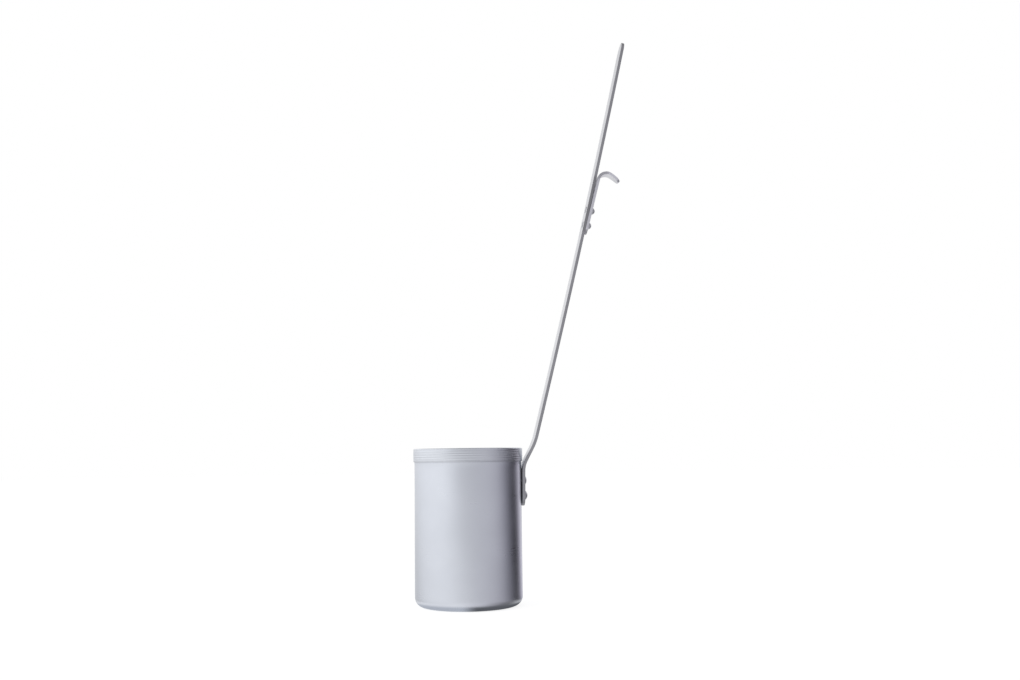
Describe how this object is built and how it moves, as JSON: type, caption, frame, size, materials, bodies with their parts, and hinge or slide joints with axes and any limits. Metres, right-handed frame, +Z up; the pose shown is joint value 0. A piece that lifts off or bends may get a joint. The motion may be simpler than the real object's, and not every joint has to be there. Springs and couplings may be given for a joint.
{
  "type": "handled dipper cup",
  "caption": "Straight-sided drawn aluminium cup with a folded hem and a long, leaning strip handle, riveted on, with a curled hook on its back for hanging inside a can.",
  "frame": {"origin": "centre of the cup's flat underside, where it stands", "axes": "+Z up along the cup's axis, +X from the cup's axis towards the handle, +Y across the strip"},
  "size_m": [0.2051, 0.1002, 0.5332],
  "materials": {
    "cup_metal": "satin, turned lines round the hem",
    "handle_metal": "satin, drawn lengthwise",
    "hook_metal": "satin, drawn lengthwise",
    "rivet_metal": "dull, hammered"
  },
  "bodies": {
    "root": {"cup": "cup_metal", "handle": "handle_metal", "hook": "hook_metal", "cup_rivet_lower": "rivet_metal", "cup_rivet_upper": "rivet_metal", "hook_rivet_lower": "rivet_metal", "hook_rivet_upper": "rivet_metal"}
  },
  "joints": []
}
